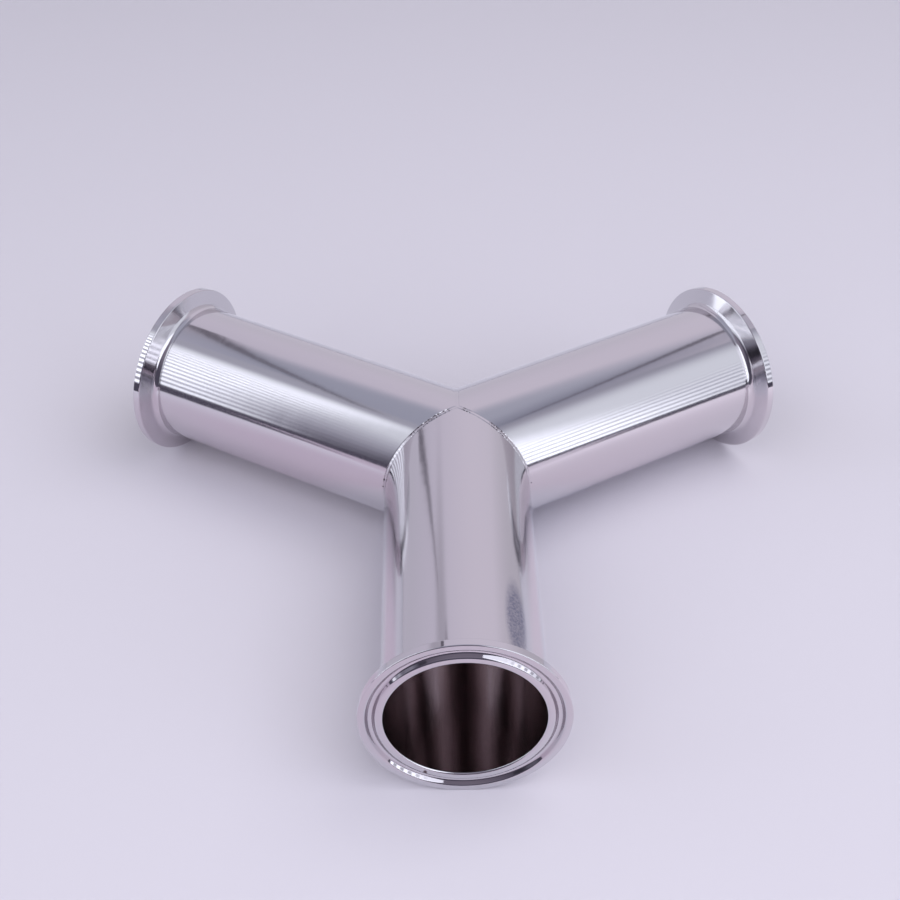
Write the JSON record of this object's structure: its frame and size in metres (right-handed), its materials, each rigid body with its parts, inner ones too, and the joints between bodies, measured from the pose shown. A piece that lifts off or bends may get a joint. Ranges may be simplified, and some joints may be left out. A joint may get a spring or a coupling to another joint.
{
  "type": "wye pipe fitting",
  "caption": "Equal wye of polished stainless tube, mitred and welded, with a turned hygienic clamp ferrule on each end, to split or join the flow in process pipework.",
  "frame": {"origin": "point where the three tube axes cross, at the centre of the branch", "axes": "+Z square to the level plane of the legs; -Y out along the front leg; the other legs at 30 and 150 degrees from +X"},
  "size_m": [0.2406, 0.2086, 0.064],
  "materials": {
    "tube": "mirror polished along the tube, faint polish lines",
    "ferrule": "fine turned and polished",
    "weld": "dressed and polished, small pits left"
  },
  "bodies": {
    "root": {"branch_weld": "weld", "front_tube": "tube", "front_ferrule": "ferrule", "right_tube": "tube", "right_ferrule": "ferrule", "left_tube": "tube", "left_ferrule": "ferrule"}
  },
  "joints": []
}
